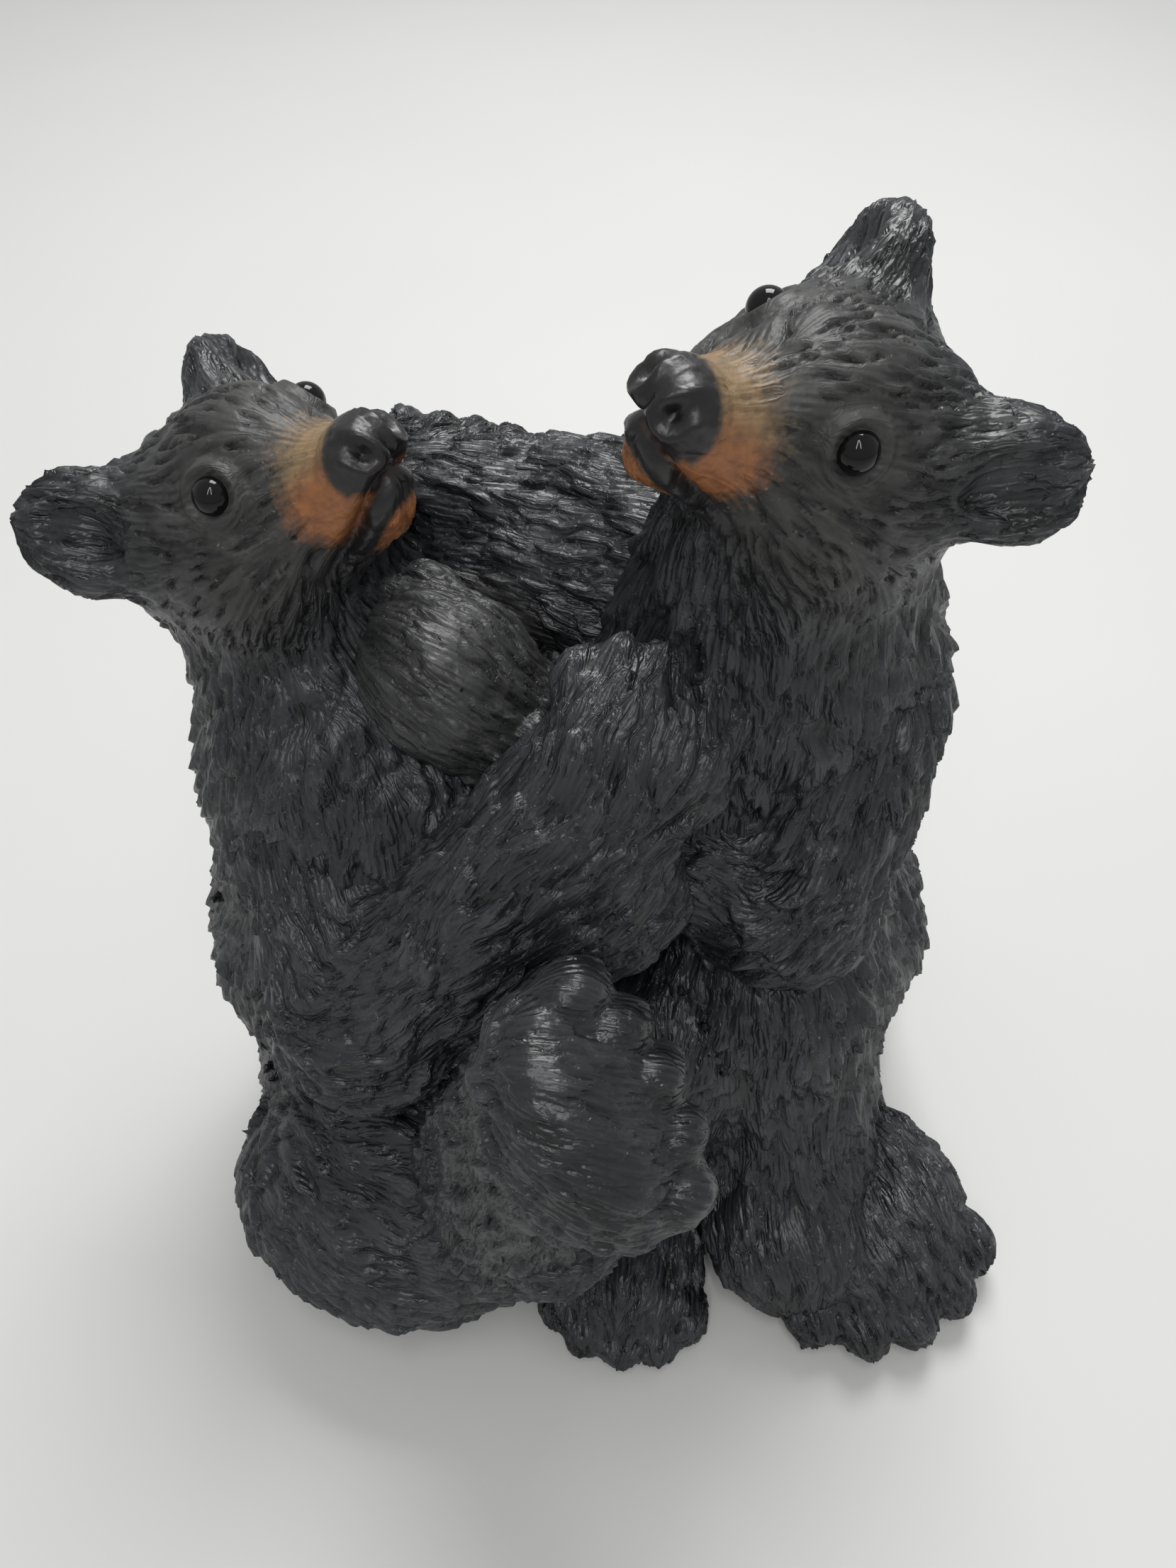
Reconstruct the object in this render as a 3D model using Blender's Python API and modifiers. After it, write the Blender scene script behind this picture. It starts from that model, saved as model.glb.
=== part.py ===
"""Two bear cubs in a wrestling hug: one resin casting, with four glass bead eyes.

The figure stands on z = 0, with its middle over the origin. The viewer of the
front stands at -Y. One cub sits at -X and leans back, the other stands over it
at +X. Pose, proportions and carving are shares of the figure's height.
"""
import math

import bmesh
import bpy
import numpy as np
from mathutils import Matrix, Vector

# Driving sizes, in metres
HEIGHT = 0.178
BEAD_DIAMETER = 0.0056
BEAD_SHOWING = 0.0021
SEAT_GAP = 0.0003
LOCK_HEIGHT = 0.0027
LOCK_LENGTH = 0.0170
LOCK_WIDTH = 0.0085
VOXEL = 0.0015
CASTING_TRIANGLES = 8650
BEAD_SEGMENTS = 10

# The masses below are written in shares: 178 of them make the height
SHARES_TALL = 178
SHARE = HEIGHT / SHARES_TALL
CREASE = 1.2
REACH = 22
FAR = 60.0
FLOW_FADE = 3.0
TOES = 5
TOE_TURN = 0.42
LOCK_COUNT = 1300
LOCK_MIDDLE = 0.45
SEED = 7

# How far the short fur of a face and a skull reaches from the head's centre, and its share of the depth
FACE_REACH, FACE_FUR = 44, 0.07
SKULL_REACH, SKULL_FUR = 26, 0.6
MUZZLE_START, MUZZLE_FADE = -4, 14

# Steps of the work on the skin, and how strongly triangles are kept on faces and toes
SOFTEN_STEPS = 5
SETTLE_STEPS = 6
SEAT_STEPS = 12
DETAIL_CENTRE, DETAIL_REACH = (8, 0, 0), 34
FINE_WEIGHT = 0.35
WEIGHT_FACTOR = 0.05

# Colours and finish of the two materials: base colour, roughness
CASTING_FINISH = ((0.030, 0.032, 0.034), 0.45)
BEAD_FINISH = ((0.004, 0.004, 0.004), 0.08)

# Where each head sits, which way it looks and where its crown points
HEADS = {
    "left": {"centre": (-51, 24, 136), "forward": (0.65, -0.41, 0.64), "crown": (-0.44, 0.13, 0.87)},
    "right": {"centre": (32, 13, 157), "forward": (-0.66, -0.54, 0.50), "crown": (0.62, 0.00, 0.78)},
}
EYE_PLACE = (12.5, 9.8, 6.3)
EYE_GAZE = (0.72, 0.62, 0.34)


def clear_scene():
    """Remove what a new Blender file starts with."""
    for thing in list(bpy.data.objects):
        bpy.data.objects.remove(thing, do_unlink=True)


def unit(vector):
    vector = np.asarray(vector, float)
    return vector / np.linalg.norm(vector)


def axes_from(forward, up):
    """Three rows: forward, the side to its left, and up made square to forward."""
    forward = unit(forward)
    side = unit(np.cross(up, forward))
    return np.array([forward, side, np.cross(forward, side)])


class Figure:
    """The list of masses. Each belongs to a group, and a crease stays where groups meet."""

    def __init__(self):
        self.masses = []
        self.hollows = []
        self.toes = []

    def ball(self, group, centre, radii, blend=8.0, axes=None, flow=(0, 0, -1)):
        """An ellipsoid. Its radii lie along its own axes."""
        axes = np.eye(3) if axes is None else axes
        self.masses.append(("ball", group, blend, unit(flow), np.array(centre, float),
                            np.array(radii, float), axes))

    def limb(self, group, start, end, radii, blend=6.0, flow=None):
        """A round limb whose radius changes evenly from start to end."""
        start, end = np.array(start, float), np.array(end, float)
        flow = unit(end - start) if flow is None else unit(flow)
        self.masses.append(("limb", group, blend, flow, start, end, radii))

    def hollow(self, centre, radii, axes, blend=2.0):
        """An ellipsoid that is scooped out of the masses."""
        self.hollows.append((blend, np.array(centre, float), np.array(radii, float), axes))


def ellipsoid_distance(points, centre, radii, axes):
    """Near the surface: k (k - 1) / |gradient|, where k is the scaled distance from the centre."""
    local = (points - centre) @ axes.T / radii
    scaled = np.linalg.norm(local, axis=1)
    return scaled * (scaled - 1) / (np.linalg.norm(local / radii, axis=1) + 1e-9)


def limb_distance(points, start, end, radii):
    """Distance from the limb's axis less the radius at that place along it."""
    axis = end - start
    along = np.clip((points - start) @ axis / (axis @ axis), 0, 1)
    reach = np.linalg.norm(points - start - along[:, None] * axis, axis=1)
    return reach - radii[0] - along * (radii[1] - radii[0])


def soft_union(first, second, blend):
    """The smaller of two distances, rounded over where they are less than blend apart."""
    share = np.clip(0.5 + 0.5 * (second - first) / blend, 0, 1)
    return second * (1 - share) + first * share - blend * share * (1 - share)


def mass_distance(points, mass):
    """The points within REACH of a mass, and their distances from it."""
    kind, _, _, _, first, second, third = mass
    middle, bound = first, second.max() if kind == "ball" else 0
    if kind == "limb":
        middle, bound = (first + second) / 2, np.linalg.norm(second - first) / 2 + max(third)
    near = np.flatnonzero(np.sum((points - middle) ** 2, axis=1) < (bound + REACH) ** 2)
    if kind == "ball":
        return near, ellipsoid_distance(points[near], first, second, third)
    return near, limb_distance(points[near], first, second, third)


def figure_distance(figure, points):
    """Soft union inside each group, then a tighter one between groups, less the hollows."""
    groups = {}
    for mass in figure.masses:
        near, distance = mass_distance(points, mass)
        name, blend = mass[1], mass[2]
        whole = groups.setdefault(name, np.full(len(points), FAR))
        whole[near] = soft_union(whole[near], distance, blend)
    total = np.full(len(points), FAR)
    for distance in groups.values():
        total = soft_union(total, distance, CREASE)
    for blend, centre, radii, axes in figure.hollows:
        near = np.flatnonzero(np.linalg.norm(points - centre, axis=1) < radii.max() + REACH)
        scoop = ellipsoid_distance(points[near], centre, radii, axes)
        total[near] = -soft_union(-total[near], scoop, blend)
    return total


def fur_flow(figure, points, normals):
    """The lie of the fur: the flows of the nearest masses, laid onto the surface."""
    flow = np.zeros(points.shape)
    for mass in figure.masses:
        near, distance = mass_distance(points, mass)
        flow[near] += np.exp(-np.clip(distance, -FLOW_FADE, None) / FLOW_FADE)[:, None] * mass[3]
    flow -= normals * np.sum(flow * normals, axis=1)[:, None]
    return flow / (np.linalg.norm(flow, axis=1)[:, None] + 1e-6)


def add_head(figure, group, centre, forward, crown):
    """A cub's head: skull, brow, cheeks, muzzle, jaw, nose and two cupped ears."""
    axes = axes_from(forward, crown)
    centre = np.array(centre, float)

    def at(x, y, z):
        return centre + np.array([x, y, z]) @ axes

    back = -axes[0]
    figure.ball(group, at(-2, 0, 0), (19, 18.5, 17), 8, axes, back)
    figure.ball(group, at(9, 0, 5), (13, 12.5, 11.6), 6, axes, back)
    for side in (-1, 1):
        figure.ball(group, at(3, side * 10, -6), (13, 9, 11), 6, axes, back)
    figure.limb(group, at(13, 0, -2), at(28, 0, -3), (10.5, 7.0), 5, back)
    figure.limb(group, at(8, 0, -9), at(28, 0, -9.0), (7.5, 3.9), 2, back)
    figure.ball(group, at(32.3, 0, -0.6), (4.9, 5.7, 4.7), 3.0, axes, back)
    for side in (-1, 1):
        ear_forward = axes[0] * 0.8 + axes[1] * side * 0.5
        ear_axes = axes_from(ear_forward, axes[2] * 0.75 + axes[1] * side * 0.65)
        ear = at(-8, side * 18, 14)
        figure.limb(group, at(-5, side * 9, 6), at(-8, side * 15.5, 12), (11, 8), 6, ear_axes[2])
        figure.ball(group, ear, (5.2, 9.5, 9.8), 4, ear_axes, ear_axes[2])
        figure.hollow(ear + ear_axes[0] * 6 + ear_axes[2] * 1.5, (4.2, 5.8, 6.3), ear_axes)


def add_paw(figure, group, centre, forward, up, size, toe_radius=4.6, blend=5.0):
    """A broad paw: one flat mass with five toes in an arc along its front."""
    axes = axes_from(forward, up)
    centre = np.array(centre, float)
    length, width, depth = size
    figure.ball(group, centre, size, blend, axes, axes[0])
    for toe in range(TOES):
        turn = (toe - (TOES - 1) / 2) * TOE_TURN
        reach = (length - toe_radius * 0.35) * math.cos(turn)
        across = (width + toe_radius * 0.1) * math.sin(turn)
        place = centre + axes[0] * reach + axes[1] * across - axes[2] * depth * 0.15
        figure.ball(group, place, (toe_radius * 1.25, toe_radius, toe_radius), 1.6, axes, axes[0])
        figure.toes.append((place, toe_radius * 1.5))


def add_left_cub(figure):
    """The cub that sits on its rump, leans back and raises one foot."""
    body = "left body"
    figure.ball(body, (-35, 0, 30), (33, 30, 34))
    figure.ball(body, (-44, 2, 56), (28, 28, 27), 12)
    figure.ball(body, (-42, 9, 80), (25.5, 26, 26), 12)
    figure.ball(body, (-42, 15, 99), (24, 26, 21), 10)
    figure.ball(body, (-25, 2, 82), (22, 20, 26), 10)
    figure.ball(body, (-24, 22, 84), (22, 22, 28), 10)
    figure.ball(body, (-18, -14, 62), (22, 18, 20), 8)
    figure.ball(body, (-34, 37, 111), (13, 12, 13), 8)
    figure.ball(body, (-5, 14, 48), (22, 22, 36), 8)
    figure.ball(body, (-5, 13, 88), (16, 20, 20), 8)
    figure.limb(body, (-42, 18, 104), (-52, 25, 126), (20.5, 18), 10, (0.5, 0, -1))
    figure.ball(body, (-35, -33, 23), (33, 29, 28), 8, flow=(0.8, -0.2, -0.5))
    figure.limb(body, (-24, -39, 31), (-8, -46, 44), (23, 18), 8)
    figure.ball(body, (-24, 28, 24), (30, 24, 28), 8, flow=(0.8, 0.3, -0.5))
    figure.limb(body, (-18, 34, 28), (-4, 44, 22), (19, 13), 8)
    add_paw(figure, "left far foot", (8, 46, 6.5), (0.95, 0.3, 0.0), (0, 0, 1), (18, 13, 9), 4.2)
    figure.limb("left shin", (-13, -43, 42), (-5, -49, 82), (20, 15.5))
    foot = (12.5, 21, 11)
    add_paw(figure, "left shin", (-1.5, -54, 92), (0.80, 0.50, 0.10), (-0.20, 0.60, -0.75), foot, 5.2)
    figure.limb("left arm", (-46, 2, 90), (-38, -24, 66), (16.5, 15))
    figure.limb("left arm", (-38, -24, 66), (-3, -13, 104), (15, 16), 6)
    figure.limb("left arm", (-30, -22, 66), (2, -14, 90), (12, 15), 6)
    add_paw(figure, "left arm", (7, -10, 118), (0.30, 0.62, 0.70), (0, -0.70, 0.70), (14, 15, 10), 4.4)
    figure.limb("left far arm", (-38, 34, 98), (-12, 50, 86), (15, 13))
    figure.limb("left far arm", (-12, 50, 86), (16, 47, 96), (13, 11))
    add_paw(figure, "left far arm", (26, 46, 101), (0.9, -0.1, 0.42), (0.1, 1, 0), (13, 12, 8), 4.0)
    head = HEADS["left"]
    add_head(figure, body, head["centre"], head["forward"], head["crown"])


def add_right_cub(figure):
    """The cub that stands half squatting and leans over the other."""
    body = "right body"
    figure.ball(body, (38, 20, 31), (31, 30, 35))
    figure.ball(body, (33, 15, 60), (28, 28, 28), 12)
    figure.ball(body, (32, 16, 88), (27, 28, 28), 12)
    figure.ball(body, (30, 18, 112), (27, 27, 24), 10)
    figure.ball(body, (13, 8, 88), (22, 20, 30), 10)
    figure.ball(body, (12, 28, 92), (22, 20, 28), 10)
    figure.limb(body, (30, 18, 120), (30, 15, 140), (25, 21), 10, (0, 0, -1))
    figure.limb(body, (46, 8, 46), (34, -10, 56), (22, 20), 8, (0, -0.3, -1))
    figure.limb(body, (34, -10, 56), (40, -24, 24), (20, 18), 8)
    figure.ball(body, (40, -40, 12), (18, 18, 16), 8, flow=(0.2, -0.8, -0.4))
    figure.limb(body, (16, 6, 42), (10, -20, 48), (22, 17), 8)
    figure.limb(body, (10, -20, 48), (8, -34, 16), (16, 13), 6)
    figure.ball(body, (62, 42, 34), (7, 6, 9), 5, flow=(0.3, 0.3, -1))
    add_paw(figure, "right near foot", (54, -36, 10), (0.38, -0.92, -0.05), (0, 0, 1), (23, 23, 13), 6.0, 8)
    add_paw(figure, "right far foot", (8, -43, 8), (-0.10, -0.99, -0.05), (0, 0, 1), (19, 16, 11), 4.8)
    figure.limb("right arm", (41, 8, 108), (34, -8, 80), (18, 16))
    figure.limb("right arm", (34, -8, 80), (0, 2, 98), (15, 13))
    figure.limb("right arm", (0, 2, 98), (-20, 7, 114), (13, 12.5))
    add_paw(figure, "right arm", (-23, 9, 117), (-0.80, 0.35, 0.35), (0, -0.64, 0.77), (14, 14, 12), 4.2)
    figure.limb("right far arm", (14, 34, 122), (-12, 42, 122), (17, 14))
    figure.limb("right far arm", (14, 28, 112), (-18, 35, 113), (18, 14))
    add_paw(figure, "right far arm", (-23, 46, 127), (-0.95, 0.1, 0.1), (0, 0.5, 0.86), (12, 12, 9), 3.8)
    head = HEADS["right"]
    add_head(figure, body, head["centre"], head["forward"], head["crown"])


def build_figure():
    figure = Figure()
    add_left_cub(figure)
    add_right_cub(figure)
    return figure


def primitive(make, **settings):
    """Corners and faces of one of Blender's primitives."""
    shape = bmesh.new()
    make(shape, **settings)
    corners = np.array([vertex.co for vertex in shape.verts])
    faces = [[vertex.index for vertex in face.verts] for face in shape.faces]
    shape.free()
    return corners, faces


def rough_mesh(figure):
    """Blender's spheres and cones in the places of the masses, in one mesh, in metres."""
    sphere, sphere_faces = primitive(bmesh.ops.create_uvsphere, u_segments=20, v_segments=12, radius=1)
    sleeve, sleeve_faces = primitive(bmesh.ops.create_cone, cap_ends=True, segments=20,
                                     radius1=1, radius2=1, depth=1)
    copies = []
    for mass in figure.masses:
        kind, first, second, third = mass[0], mass[4], mass[5], mass[6]
        if kind == "ball":
            copies.append((sphere * second @ third + first, sphere_faces))
            continue
        copies.append((sphere * third[0] + first, sphere_faces))
        copies.append((sphere * third[1] + second, sphere_faces))
        along = sleeve[:, 2:] + 0.5
        radius = third[0] + along * (third[1] - third[0])
        turn = np.array(Vector(second - first).to_track_quat("Z", "Y").to_matrix())
        ring = np.concatenate([sleeve[:, :2] * radius, along * 0], axis=1)
        copies.append((ring @ turn.T + first + along * (second - first), sleeve_faces))
    starts = np.cumsum([0] + [len(corners) for corners, _ in copies])
    points = np.concatenate([corners for corners, _ in copies]) * SHARE
    faces = [[index + start for index in face]
             for start, (_, shape_faces) in zip(starts.tolist(), copies) for face in shape_faces]
    mesh = bpy.data.meshes.new("rough")
    mesh.from_pydata(points.tolist(), [], faces)
    return mesh


def evaluated_mesh(thing):
    """A new mesh with the object's modifiers applied."""
    graph = bpy.context.evaluated_depsgraph_get()
    return bpy.data.meshes.new_from_object(thing.evaluated_get(graph))


def read_points(mesh):
    points = np.empty(len(mesh.vertices) * 3)
    normals = np.empty(len(mesh.vertices) * 3)
    mesh.vertices.foreach_get("co", points)
    mesh.vertices.foreach_get("normal", normals)
    return points.reshape(-1, 3), normals.reshape(-1, 3)


def write_points(mesh, points):
    mesh.vertices.foreach_set("co", points.ravel())
    mesh.update()


def settle_on_masses(figure, mesh):
    """Slide every point along its normal onto the soft union of the masses."""
    for _ in range(SETTLE_STEPS):
        points, normals = read_points(mesh)
        gap = figure_distance(figure, points / SHARE) * SHARE
        write_points(mesh, points - normals * np.clip(gap, -VOXEL, VOXEL)[:, None])


def lock_relief(points, normals, flow):
    """Height of overlapping locks, from 0 to 1.

    Each lock is a tapered tongue that lies along the flow. It swells from its
    root to just short of its tip, and the highest lock at a point shows.
    """
    random = np.random.default_rng(SEED)
    relief = np.zeros(len(points))
    by_height = np.argsort(points[:, 2])
    heights = points[by_height, 2]
    for root in random.choice(len(points), LOCK_COUNT, replace=False):
        length = LOCK_LENGTH * random.uniform(0.75, 1.3)
        width = LOCK_WIDTH * random.uniform(0.75, 1.25)
        level = points[root, 2]
        slab = by_height[slice(*np.searchsorted(heights, (level - length, level + length)))]
        near = slab[np.abs(points[slab] - points[root]).max(axis=1) < length]
        offset = points[near] - points[root]
        side = np.cross(normals[root], flow[root])
        along = offset @ flow[root] / length
        taper = np.clip(1.05 - np.abs(along + 0.15) ** 1.5 * 1.9, 0.05, 1)
        across = offset @ side / (width * taper / 2)
        facing = normals[near] @ normals[root]
        swell = np.clip(0.45 + 0.9 * along, 0, 1) * np.clip((0.55 - along) / 0.14, 0, 1)
        height = np.clip(1 - across ** 2, 0, 1) * swell * np.clip(facing * 2, 0, 1)
        height[np.abs(offset @ normals[root]) > length * 0.5] = 0
        relief[near] = np.maximum(relief[near], height)
    return relief


def head_shares(points):
    """For each head: the points in its own axes, in shares from its centre."""
    for head in HEADS.values():
        axes = axes_from(head["forward"], head["crown"])
        yield (points / SHARE - np.array(head["centre"])) @ axes.T


def carve_fur(figure, mesh):
    """Raise the locks. They fade out on the faces, where the fur is short."""
    points, normals = read_points(mesh)
    flow = fur_flow(figure, points / SHARE, normals)
    depth = np.ones(len(points))
    for local in head_shares(points):
        away = np.linalg.norm(local, axis=1)
        face = np.clip((local[:, 0] - MUZZLE_START) / MUZZLE_FADE, 0, 1) * (away < FACE_REACH)
        depth *= 1 - (1 - FACE_FUR) * face
        depth *= np.where(away < SKULL_REACH, SKULL_FUR, 1)
    lift = (lock_relief(points, normals, flow) - LOCK_MIDDLE) * LOCK_HEIGHT * depth
    write_points(mesh, points + normals * lift[:, None])


def detail_weights(thing, figure):
    """A vertex group that keeps more triangles on the faces and toes than on the bodies."""
    points, _ = read_points(thing.data)
    group = thing.vertex_groups.new(name="keep")
    weight = np.full(len(points), 1.0)
    for local in head_shares(points):
        weight[np.linalg.norm(local - DETAIL_CENTRE, axis=1) < DETAIL_REACH] = FINE_WEIGHT
    for place, reach in figure.toes:
        weight[np.linalg.norm(points / SHARE - place, axis=1) < reach] = FINE_WEIGHT
    for value in (FINE_WEIGHT, 1.0):
        group.add(np.flatnonzero(weight == value).tolist(), value, "REPLACE")
    return group.name


def eye_centre(head, side):
    """Centre of a bead, in metres: side is 1 for the cub's left eye and -1 for its right."""
    axes = axes_from(head["forward"], head["crown"])
    place = np.array(EYE_PLACE) * (1, side, 1)
    return (np.array(head["centre"]) + place @ axes) * SHARE


def eye_outward(head, side):
    """The way the eye faces, out of the head."""
    axes = axes_from(head["forward"], head["crown"])
    return unit(np.array(EYE_GAZE) * (1, side, 1) @ axes)


def seat_beads(figure):
    """Move each bead along its gaze until BEAD_SHOWING of it stands out of the face."""
    places = {}
    for name, head in HEADS.items():
        for side_name, side in (("left", 1), ("right", -1)):
            centre = eye_centre(head, side)
            outward = eye_outward(head, side)
            for _ in range(SEAT_STEPS):
                gap = figure_distance(figure, centre[None] / SHARE)[0] * SHARE
                centre = centre + outward * (BEAD_SHOWING - BEAD_DIAMETER / 2 - gap)
            places[f"{name}_cub_{side_name}_eye"] = centre
    return places


def new_material(name, finish):
    colour, roughness = finish
    material = bpy.data.materials.new(name)
    material.use_nodes = True
    shader = material.node_tree.nodes["Principled BSDF"]
    shader.inputs["Base Color"].default_value = (*colour, 1)
    shader.inputs["Roughness"].default_value = roughness
    shader.inputs["Metallic"].default_value = 0.0
    return material


def new_object(name, mesh, collection):
    thing = bpy.data.objects.new(name, mesh)
    collection.objects.link(thing)
    return thing


def new_collection(name):
    collection = bpy.data.collections.new(name)
    bpy.context.scene.collection.children.link(collection)
    return collection


def ball_mesh(name, radius, segments):
    shape = bmesh.new()
    bmesh.ops.create_uvsphere(shape, u_segments=segments, v_segments=segments // 2 + 2, radius=radius)
    mesh = bpy.data.meshes.new(name)
    shape.to_mesh(mesh)
    shape.free()
    mesh.shade_smooth()
    return mesh


def as_cutter(thing):
    thing.hide_render = True
    thing.display_type = "WIRE"
    return thing


def cut(thing, cutter, name):
    modifier = thing.modifiers.new(name, "BOOLEAN")
    modifier.operation = "DIFFERENCE"
    modifier.solver = "EXACT"
    modifier.object = cutter


def build_casting(figure, parts):
    """Both cubs in one piece: masses, voxel skin, locks of fur, then fewer triangles."""
    thing = new_object("cubs", rough_mesh(figure), parts)
    remesh = thing.modifiers.new("skin", "REMESH")
    remesh.mode = "VOXEL"
    remesh.voxel_size = VOXEL
    soften = thing.modifiers.new("soften", "SMOOTH")
    soften.factor = 0.5
    soften.iterations = SOFTEN_STEPS
    thing.data = evaluated_mesh(thing)
    thing.modifiers.clear()
    settle_on_masses(figure, thing.data)
    carve_fur(figure, thing.data)
    decimate = thing.modifiers.new("fewer triangles", "DECIMATE")
    triangles = sum(len(face.vertices) - 2 for face in thing.data.polygons)
    decimate.ratio = CASTING_TRIANGLES / triangles
    decimate.vertex_group = detail_weights(thing, figure)
    decimate.vertex_group_factor = WEIGHT_FACTOR
    decimate.use_collapse_triangulate = True
    thing.data = evaluated_mesh(thing)
    thing.modifiers.clear()
    return thing


def floor_cutter(cutters):
    """A slab under z = 0, which gives the feet and rumps their flat undersides."""
    shape = bmesh.new()
    bmesh.ops.create_cube(shape, size=HEIGHT * 2, matrix=Matrix.Translation((0, 0, -HEIGHT)))
    mesh = bpy.data.meshes.new("floor")
    shape.to_mesh(mesh)
    shape.free()
    return as_cutter(new_object("floor cutter", mesh, cutters))


def centre_over_origin(casting):
    """Slide the casting sideways until the middle of its box is over the origin, and say how far."""
    points, _ = read_points(casting.data)
    slide = -(points.min(axis=0) + points.max(axis=0)) / 2
    slide[2] = 0
    write_points(casting.data, points + slide)
    print("casting moved by", slide)
    return slide


def main():
    clear_scene()
    parts = new_collection("bear cubs figurine")
    cutters = new_collection("cutters")
    figure = build_figure()
    casting = build_casting(figure, parts)
    slide = centre_over_origin(casting)
    casting.data.materials.append(new_material("painted resin", CASTING_FINISH))
    cut(casting, floor_cutter(cutters), "flat underside")
    bead = ball_mesh("bead", BEAD_DIAMETER / 2, BEAD_SEGMENTS)
    bead.materials.append(new_material("bead glass", BEAD_FINISH))
    socket = ball_mesh("socket", BEAD_DIAMETER / 2 + SEAT_GAP, BEAD_SEGMENTS)
    for name, centre in seat_beads(figure).items():
        thing = new_object(name, bead, parts)
        thing.location = centre + slide
        cutter = as_cutter(new_object(name + " socket", socket, cutters))
        cutter.location = centre + slide
        cut(casting, cutter, name + " socket")


main()
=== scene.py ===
# %% [markdown]
# Two bear cubs in a wrestling hug
#
# The real thing is a shelf figurine about a hand tall. It was modelled in clay with carved fur,
# cast in resin, painted black, airbrushed tan and orange on the muzzles, and given glass bead eyes.
# One cub sits and leans back with a foot raised; the other stands over it.
#
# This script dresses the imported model. The model gives the frame, the sizes and the places; here
# come the fur, the faces, the paint and the light. Everything is worked out in millimetres and
# turned into metres once, when a piece is finished.

import math
from concurrent.futures import ThreadPoolExecutor

import bpy
import numpy as np
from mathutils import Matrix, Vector


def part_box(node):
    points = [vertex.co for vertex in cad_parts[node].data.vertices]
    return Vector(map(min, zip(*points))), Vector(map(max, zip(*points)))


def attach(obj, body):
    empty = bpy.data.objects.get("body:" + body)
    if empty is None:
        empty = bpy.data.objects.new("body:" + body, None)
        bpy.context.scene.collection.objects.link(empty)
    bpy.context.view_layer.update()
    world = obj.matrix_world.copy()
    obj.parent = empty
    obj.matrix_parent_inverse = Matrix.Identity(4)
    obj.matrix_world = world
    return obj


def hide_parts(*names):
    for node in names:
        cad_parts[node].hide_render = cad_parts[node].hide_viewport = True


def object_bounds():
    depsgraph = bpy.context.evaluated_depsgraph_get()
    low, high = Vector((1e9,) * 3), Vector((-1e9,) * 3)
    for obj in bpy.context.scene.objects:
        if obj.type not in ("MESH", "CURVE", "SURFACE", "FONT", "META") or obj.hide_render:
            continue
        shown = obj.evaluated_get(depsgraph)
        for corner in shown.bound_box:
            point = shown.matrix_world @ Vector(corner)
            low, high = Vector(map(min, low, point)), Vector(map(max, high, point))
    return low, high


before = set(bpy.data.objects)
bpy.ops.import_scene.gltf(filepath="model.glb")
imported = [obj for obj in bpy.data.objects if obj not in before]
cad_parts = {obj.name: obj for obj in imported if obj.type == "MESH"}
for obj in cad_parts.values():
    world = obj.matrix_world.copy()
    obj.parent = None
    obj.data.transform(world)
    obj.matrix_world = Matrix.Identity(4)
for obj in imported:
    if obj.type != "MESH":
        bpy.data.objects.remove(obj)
cad_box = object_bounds()
MM = 0.001
print("packed model, mm:", [[round(value / MM, 1) for value in corner] for corner in cad_box])


# %% [markdown]
# How a cub is described
#
# A sculptor starts from lumps: an egg for the rump, a barrel for the chest, tapered rolls for the
# limbs. The same lumps are written down here as masses, each with the way that its fur lies. They
# could be joined as meshes, but then every joint would be a hard corner. Kept as distances, they can
# run into each other softly, as pressed clay does.

# %% Vectors
def unit(vectors):
    """Each vector divided by its own length."""
    vectors = np.asarray(vectors, float)
    return vectors / (np.linalg.norm(vectors, axis=-1, keepdims=True) + 1e-12)


def axes_from(forward, up):
    """Three rows: forward, the side to its left (up x forward), and up made square to forward."""
    forward = unit(forward)
    side = unit(np.cross(up, forward))
    return np.array([forward, side, np.cross(forward, side)])


def ease(value, low, high):
    """0 below low, 1 above high, and t t (3 - 2 t) between, with t the share of the way."""
    share = np.clip((value - low) / (high - low), 0, 1)
    return share * share * (3 - 2 * share)


def along_axis(points, axes):
    """Each point's component along an axis of its own."""
    return np.einsum("ij,ij->i", points, axes)


CHUNK = 12000


def in_chunks(work, *arrays):
    """work(slices of the arrays) on four threads. Short slices stay in the processor's fast memory."""
    starts = range(0, len(arrays[0]), CHUNK)
    with ThreadPoolExecutor(4) as crew:
        done = list(crew.map(lambda start: work(*(array[start:start + CHUNK] for array in arrays)), starts))
    if isinstance(done[0], tuple):
        return tuple(np.concatenate(column) for column in zip(*done))
    return np.concatenate(done)


# %% The list of masses
class Cub:
    """The masses of one cub, in millimetres. A crease stays where two groups of them meet."""

    def __init__(self, name, centre, forward, crown):
        self.name = name
        self.head = np.array(centre, float)
        self.head_axes = axes_from(forward, crown)
        self.masses = []
        self.hollows = []
        self.soles = []
        self.toes = []
        self.fine = []

    def ball(self, group, centre, radii, blend=8.0, axes=None, flow=(0, 0, -1)):
        """An ellipsoid. Its radii lie along its own axes."""
        axes = np.eye(3) if axes is None else axes
        self.masses.append(("ball", group, blend, unit(flow), np.array(centre, float),
                            np.array(radii, float), axes))

    def limb(self, group, start, end, radii, blend=6.0, flow=None):
        """A round limb whose radius changes evenly from start to end."""
        start, end = np.array(start, float), np.array(end, float)
        flow = unit(end - start) if flow is None else unit(flow)
        self.masses.append(("limb", group, blend, flow, start, end, np.array(radii, float)))

    def hollow(self, centre, radii, axes, blend=2.0):
        """An ellipsoid that is scooped out of the masses."""
        self.hollows.append((blend, np.array(centre, float), np.array(radii, float), axes))

    def in_head(self, points):
        """Points in the head's own millimetres: forward, to its left, towards its crown."""
        return (points - self.head) @ self.head_axes.T


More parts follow.
